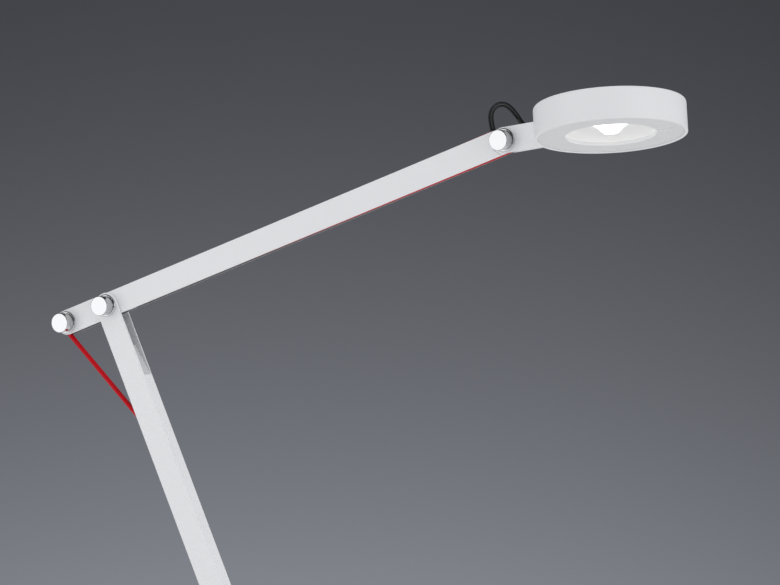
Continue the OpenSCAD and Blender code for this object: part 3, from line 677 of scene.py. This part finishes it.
def pivot(name, place, half, body):
    """Turned knob, round-edged ring and low cap nut of one pivot; half is where they sit on the arm."""
    top = RING_H + KNOB_H
    knob = rounded([(0, RING_H), (GROOVE_R, RING_H), (GROOVE_R, RING_H + GROOVE_H),
                    (KNOB_R, RING_H + SKIRT_H), (KNOB_R, top), (0, top)],
                   [0, 0, 0.2, 0.25, 0.45, 0], 5, closed=False)
    ring = rounded([(RING_HOLE_R, SEAT_GAP), (RING_R, SEAT_GAP), (RING_R, RING_H), (RING_HOLE_R, RING_H)],
                   [0, 0.1, 0.9, 0], 10)
    nut = rounded([(0, SEAT_GAP), (NUT_R, SEAT_GAP), (NUT_R, NUT_H), (0, NUT_H)], [0, 0.1, 1.2, 0], 6,
                  closed=False)
    seat, back = place.moved(y=-half), Place(place.at((0, half, 0)))
    back.axes = place.axes * np.array([[-1], [-1], [1]])
    for part, outline, spot, node in (("knob", knob, seat, "knob"), ("ring", ring, seat, "ring"),
                                      ("nut", nut, back, "cap_nut")):
        piece = Skin().turned(spot, outline, "y", 80)
        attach(piece.make(name + "_turned_" + part, BRIGHT, name + "_" + node), body)


EAR_GAP, EAR_T = 0.3, 3.0

pivot("rear", REAR, ARM_D / 2, "upper")
pivot("elbow", ELBOW, LOWER_D / 2, "lower")
pivot("head", NECK, NECK_D / 2, "neck")
pivot("foot", FOOT, LOWER_D / 2 + EAR_GAP + EAR_T, "swivel")


# Arms and neck

SOFT, INNER_SOFT, TUBE_EDGE, TUBE_INNER_EDGE = 0.45, 0.3, 1.1, 0.25
EAR_SWEEP, SWEEP_GAP, EAR_SIDE_GAP, WEB_START, TUBE_SIDE_START = 57.0, 0.3, 0.1, 9.0, 0.5
# How far a patch reaches into its neighbour
OVERLAP = 0.1


def upper_arm():
    """Two walls and a web. The walls are thinner where the neck's ears turn on them.

    That place ends on a circle round the pivot. Its radius is half the arm's height over the cosine of
    half the ears' sweep, and a gap more.
    """
    skin, r = Skin(), ARM_H / 2
    sweep = r / math.cos(math.radians(EAR_SWEEP / 2)) + SWEEP_GAP
    thin = NECK_SLOT_W / 2 - EAR_SIDE_GAP
    z = np.linspace(-r, r, 25)[1:-1]
    cut = [(UPPER_LEN - math.sqrt(sweep ** 2 - v * v), v) for v in z]
    corner = UPPER_LEN - math.sqrt(sweep ** 2 - r ** 2)
    thick = rounded([(corner, -r)] + cut + [(corner, r), (-REAR_LEN - r, r), (-REAR_LEN - r, -r)],
                    [0] * (len(cut) + 2) + [r, r], 24)
    for s in (-1, 1):
        y = sorted((s * thin, s * ARM_D / 2))
        soft = (SOFT, 0.0) if s < 0 else (0.0, SOFT)
        skin.plate(UPPER, thick, y[0], y[1], *soft)
        y = sorted((s * CHANNEL_W / 2, s * thin))
        soft = (INNER_SOFT, 0.0) if s > 0 else (0.0, INNER_SOFT)
        # The faces inside the channel take the near-black painted shade
        skin.plate(UPPER, capsule(-REAR_LEN, UPPER_LEN, -r, r), y[0], y[1], *soft,
                   inside=(1, 1, 0) if s > 0 else (0, 0, 1))
    x0, x1, z1, y1 = WEB_START, UPPER_LEN - NECK_SLOT_R, WEB_T / 2, CHANNEL_W / 2 + 2 * OVERLAP
    web = rounded([(x0, -z1), (x1, -z1), (x1, z1), (x0, z1)], 0.0)
    # The web is all painted shade
    skin.plate(UPPER, web, -y1, y1, inside=(1, 1, 1))
    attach(skin.make("upper_arm_channel", (WHITE, CHANNEL_PAINTED_SHADE), "upper_arm"), "upper")


def lower_arm():
    """A box tube of two faces and two sides, cut away at the top to leave two round cheeks."""
    skin, r = Skin(), LOWER_W / 2
    inner, outer = LOWER_D / 2 - LOWER_WALL, LOWER_D / 2
    face = rounded([(-r, -LOWER_LEN - r), (r, -LOWER_LEN - r), (r, r), (-r, r)], r, 24)
    # The faces inside the tube take the grey painted shade
    skin.plate(ELBOW, face, -outer, -inner, TUBE_EDGE, TUBE_INNER_EDGE, inside=(0, 0, 1))
    skin.plate(ELBOW, face, inner, outer, TUBE_INNER_EDGE, TUBE_EDGE, inside=(0, 1, 0))
    for x0, x1, top in ((r - LOWER_WALL, r, -FOLD_SLOT), (-r, -r + LOWER_WALL, -CORD_SLOT_END)):
        low = -LOWER_LEN + TUBE_SIDE_START
        side = rounded([(x0, low), (x1, low), (x1, top), (x0, top)], 0.0)
        skin.plate(ELBOW, side, -inner - OVERLAP, inner + OVERLAP)
    x1, low = -r + LOWER_WALL, -CORD_SLOT_END - OVERLAP
    cheek = rounded([(-r, low), (x1, low), (x1, -REAR_SLOT), (-r, -REAR_SLOT)], 0.0)
    for s in (-1, 1):
        y = sorted((s * CORD_SLOT_W / 2, s * (inner + OVERLAP)))
        skin.plate(ELBOW, cheek, y[0], y[1])
    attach(skin.make("lower_arm_tube", (WHITE, TUBE_PAINTED_SHADE), "lower_arm"), "lower")


def neck():
    """Two ears round the arm's end and the block behind them, with softened outer rims.

    The slot's floor is an arc round the head pivot.
    """
    skin, r = Skin(), ARM_H / 2
    outline = rounded([(-r, -r), (NECK_LEN, -r), (NECK_LEN, r), (-r, r)], [r, 0, 0, r], 24)
    half, slot = NECK_D / 2, NECK_SLOT_W / 2
    skin.plate(NECK, outline, -half, -slot, SOFT, 0.0)
    skin.plate(NECK, outline, slot, half, 0.0, SOFT)
    z = np.linspace(r, -r, 25)
    slot_floor = [(math.sqrt(NECK_SLOT_R ** 2 - v * v), v) for v in z]
    skin.plate(NECK, rounded(slot_floor + [(NECK_LEN, -r), (NECK_LEN, r)], 0.0), -slot, slot)
    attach(skin.make("neck_fork", WHITE, "neck"), "neck")


FLANGE_R, FLANGE_H, FLANGE_GAP = 22.0, 4.0, 0.85


def swivel_post():
    """A turned flange with two ears that hold the lower arm's foot."""
    skin, w = Skin(), LOWER_W / 2
    low = BASE_H + FLANGE_GAP
    flange = rounded([(0, low), (FLANGE_R, low), (FLANGE_R, low + FLANGE_H), (0, low + FLANGE_H)],
                     [0, 0.3, 1.4, 0], 6, closed=False)
    skin.turned(TABLE, flange)
    foot = low + FLANGE_H - 1 - FOOT_H
    gap = LOWER_D / 2 + EAR_GAP
    out = gap + EAR_T
    ear = rounded([(-w, foot), (w, foot), (w, w), (-w, w)], [0, 0, w, w], 24)
    skin.plate(FOOT, ear, -out, -gap, 0.8, 0.3)
    skin.plate(FOOT, ear, gap, out, 0.3, 0.8)
    saddle = rounded([(-w, foot), (w, foot), (w, -w - 1), (-w, -w - 1)], 0.0)
    skin.plate(FOOT, saddle, -gap - OVERLAP, gap + OVERLAP)
    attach(skin.make("swivel_fork", WHITE_BASE, "swivel_post"), "swivel")


upper_arm()
lower_arm()
neck()
swivel_post()


# Base and head

SPINDLE_HOLE_R, INLET_HOLE_R, LIP_H, LIP_GAP = 9.15, 4.1, 0.4, 0.1
# Faces round the cover, one to each degree, and the degrees to either side that the hole's patch covers
COVER_COUNT, PATCH_HALF = 360, 6


def base_cover():
    """A shallow turned cover with a rounded top edge and a round hole in its left side for the inlet.

    Round the hole each wall is a patch: its points lie at the share t of the straight line from a
    rectangle's edge to the hole's circle, set onto the cover's radius.
    """
    skin, count, half = Skin(), COVER_COUNT, PATCH_HALF
    inner, low, high = BASE_R - COVER_WALL, PAD_H + LIP_H, BASE_H - COVER_EDGE - LIP_GAP
    centre, under = (BASE_H - COVER_EDGE + PAD_H) / 2, BASE_H - COVER_WALL
    roof = rounded([(BASE_R, high), (BASE_R, BASE_H), (SPINDLE_HOLE_R, BASE_H), (SPINDLE_HOLE_R, under),
                    (inner, under), (inner, high)], [0, COVER_EDGE, 0, 0, 1.5, 0], 8, closed=False)
    lip = rounded([(inner, low), (inner, PAD_H), (BASE_R, PAD_H), (BASE_R, low)], [0, 0.2, 0.3, 0], 5,
                  closed=False)
    skin.turned(TABLE, roof, count=count).turned(TABLE, lip, count=count)
    rows = np.linspace(low, high, 2 * half + 1)
    steps = np.radians(np.arange(half - count // 2, count // 2 - half + 1))
    edge = np.linspace(-1, 1, 2 * half + 1)
    one = 0 * edge + 1
    sides = [np.stack(side, -1) for side in ((edge, -one), (one, edge), (-edge, one), (-one, -edge))]
    square = np.concatenate([side[:-1] for side in sides] + [sides[-1][-1:]])
    turn = np.linspace(-0.75 * math.pi, 1.25 * math.pi, len(square))
    circle = np.stack([INLET_HOLE_R * np.cos(turn), centre + INLET_HOLE_R * np.sin(turn)], -1)
    rims = []
    for radius, facing in ((BASE_R, 1), (inner, -1)):
        c, s, h = np.broadcast_arrays(np.cos(steps)[:, None], np.sin(steps)[:, None], rows[None])
        skin.grid(TABLE, np.stack([radius * c, radius * s, h], -1), facing * np.stack([c, s, 0 * h], -1))
        window = np.stack([-radius * np.sin(np.radians(half * square[:, 0])),
                           (low + high) / 2 + (high - low) / 2 * square[:, 1]], -1)
        share = np.linspace(0, 1, 5)[:, None, None]
        patch = (1 - share) * window[None] + share * circle[None]
        x = -np.sqrt(radius ** 2 - patch[..., 0] ** 2)
        points = np.stack([x, patch[..., 0], patch[..., 1]], -1)
        skin.grid(TABLE, points, facing * points * (1 / radius, 1 / radius, 0))
        rims.append(points[-1])
    rims = np.array(rims)
    skin.grid(TABLE, rims, (np.array((0, 0, centre)) - rims) * (0, 1 / INLET_HOLE_R, 1 / INLET_HOLE_R))
    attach(skin.make("base_cover_turned", WHITE_BASE, "base_cover"), "base")


def head_housing():
    """An open-bottomed turned drum with a softened top edge and a fine lower lip."""
    inner, roof = HEAD_R - HEAD_WALL, HEAD_T - ROOF_T
    outline = rounded([(0, roof), (inner, roof), (inner, 0), (HEAD_R, 0), (HEAD_R, HEAD_T), (0, HEAD_T)],
                      [0, 1.0, 0.5, 0.5, HEAD_EDGE, 0], 8, closed=False)
    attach(Skin().turned(HEAD, outline, count=180).make("head_drum", WHITE, "head_housing"), "head")


def smooth_normals(outline, limit):
    """Shares one normal between the two sides of every corner that turns less than limit degrees."""
    p, mitre, n = outline
    n = n.copy()
    for i in range(len(p) - 1):
        if np.allclose(p[i], p[i + 1]) and n[i] @ n[i + 1] > math.cos(math.radians(limit)):
            n[i] = n[i + 1] = (n[i] + n[i + 1]) / np.linalg.norm(n[i] + n[i + 1])
    return p, mitre, n


DISH_ROOF, DISH_T, DISH_HOLE_R, DISH_FLAT_R = 9.2, 0.8, 13.7, 21.0


def reflector():
    """A dish whose wall is a quarter ellipse from the flat roof down to the light opening."""
    low, wide = RING_LOW + RING_T + SEAT_GAP, LIGHT_R - DISH_FLAT_R
    a = np.linspace(0, math.pi / 2, 24)
    high = DISH_ROOF - low
    wall = [(DISH_FLAT_R + wide * math.sin(v), low + high * math.cos(v)) for v in a]
    back = [(DISH_FLAT_R + (wide + DISH_T) * math.sin(v), low + DISH_T + high * math.cos(v))
            for v in a[::-1]]
    outline = rounded([(DISH_HOLE_R, DISH_ROOF + DISH_T), (DISH_HOLE_R, DISH_ROOF)] + wall + back, 0.0)
    dish = Skin().turned(HEAD, smooth_normals(outline, 40), count=144)
    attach(dish.make("reflector_dish", DISH, "reflector"), "head")


LENS_RIM_R, LENS_TOP, LENS_RIM_LOW = 15.3, 11.7, 10.1
CONE_R, CONE_TOP, TIP_R, TIP_LOW = 13.3, 10.05, 5.2, 2.4


def light_lens():
    """A frosted cone that hangs through the dish, with a softly rounded tip."""
    outline = rounded([(0, TIP_LOW), (TIP_R, TIP_LOW), (CONE_R, CONE_TOP), (LENS_RIM_R, LENS_RIM_LOW),
                       (LENS_RIM_R, LENS_TOP), (0, LENS_TOP)], [0, 1.6, 0.3, 0, 0.2, 0], 6, closed=False)
    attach(Skin().turned(HEAD, outline, count=96).make("frosted_cone", LENS, "led_lens"), "head")


BUTTON_TURN, BUTTON_R, BUTTON_HALF, BUTTON_W, BUTTON_LIP = 11.5, 39.4, 2.3, 4.4, 0.8
DOME_PITCH, DOME_R, DOME_H = 3.1, 0.95, 0.75


def switch_button():
    """A bar with round ends, the lip behind it, and three low domes in a row."""
    turn = math.radians(BUTTON_TURN)
    c, s = math.cos(turn), math.sin(turn)
    spot = Place(HEAD.at((BUTTON_R * c, BUTTON_R * s, 0)))
    spot.axes = HEAD.turned([(c, s, 0), (0, 0, 1), (s, -c, 0)])
    back, w = RING_LOW + RING_T + SEAT_GAP, BUTTON_W / 2
    skin = Skin().plate(spot, capsule(-BUTTON_HALF, BUTTON_HALF, -w, w), RING_LOW, back + OVERLAP, 0.3)
    skin.plate(spot, capsule(-BUTTON_HALF, BUTTON_HALF, -w - BUTTON_LIP, w + BUTTON_LIP), back, back + 0.8)
    mark = rounded([(DOME_R, -RING_LOW - 0.2), (DOME_R, DOME_H), (0, DOME_H)], [0, 0.9, 0], 8, closed=False)
    for x in (-DOME_PITCH, 0.0, DOME_PITCH):
        skin.turned(spot.moved(x=x), mark, "y", 40)
    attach(skin.make("switch_button_domes", BUTTON, "switch_button"), "button")


FERRULE_REACH, FERRULE_EYE, SPRING_PIN, SPRING_PIN_R = 7.0, (1.2, -2.0), (0.0, -270.0), 1.5
WIRE_R, COIL_R, COIL_PITCH, HOOK_LEN, HOOKS_LEN = 0.42, 2.1, 0.95, 4.0, 7.0


def balance_spring():
    """A close-wound spring between the cord's end and its pin, with a hook at each end.

    A point that has turned by t lies r cos t and r sin t from the spring's line, one pitch up each turn.
    """
    foot, heading, run, _ = pull_line()
    end, pin = foot + (run + FERRULE_REACH) * heading + FERRULE_EYE, np.array(SPRING_PIN)
    rise = (end - pin) / np.hypot(*(end - pin))
    side = np.array((rise[1], -rise[0]))
    start, length = pin + HOOK_LEN * rise, np.hypot(*(end - pin)) - HOOKS_LEN
    turns = int(length / COIL_PITCH)
    t = np.linspace(0, 2 * math.pi * turns, 16 * turns + 1)
    middle = start + rise * (t / (2 * math.pi))[:, None] * (length / turns)
    coil = flat_path(middle + side * (COIL_R * np.cos(t))[:, None])
    coil[:, 1] = COIL_R * np.sin(t)
    skin = Skin().tube(ELBOW, coil, WIRE_R, across=(rise[0], 0, rise[1]), around=6)
    loop = arc(pin, SPRING_PIN_R + WIRE_R + 0.05, -170, 60, 24)
    skin.tube(ELBOW, flat_path(np.concatenate([loop, [start + COIL_R * side]])), WIRE_R, around=8)
    top = coil[-1][[0, 2]]
    hook = flat_path([top, top + 1.2 * rise - 0.8 * side, end - 0.6 * rise, end])
    skin.tube(ELBOW, hook, WIRE_R, around=8)
    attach(skin.make("balance_spring_coil", STEEL, "balance_spring"), "lower")


base_cover()
head_housing()
reflector()
light_lens()
switch_button()
balance_spring()


# CAD nodes that stay

PLAIN = {
    "base_weight": IRON, "base_pad": RUBBER, "base_screws": STEEL, "power_inlet": BLACK, "inlet_nut": STEEL,
    "swivel_bush": BLACK, "swivel_nut": STEEL, "foot_bolt": STEEL, "foot_shims": BLACK, "foot_plug": BLACK,
    # The slot's ramp is grey for painted shade
    "slot_ramp": RAMP_PAINTED_SHADE, "elbow_bolt": STEEL, "elbow_shims": BLACK, "spring_pin": STEEL,
    "lower_wire": CABLE, "wire_joint": BOARD, "elbow_bush": BLACK, "rear_bolt": STEEL, "head_bolt": STEEL,
    "cord_clamp": STEEL, "upper_wire": CABLE, "cable_grommet": CABLE, "rear_pulley": BLACK,
    "head_pulley": BLACK, "cord_ferrule": STEEL, "neck_spindle": STEEL, "spindle_nut": STEEL,
    "cable_sleeve": CABLE, "heat_sink": SINK, "led_board": BOARD, "led_emitter": CHIP, "trim_ring": RING,
    "switch_board": GREEN_BOARD,
}
for node, finish in PLAIN.items():
    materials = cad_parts[node].data.materials
    for i in range(len(materials)):
        materials[i] = finish
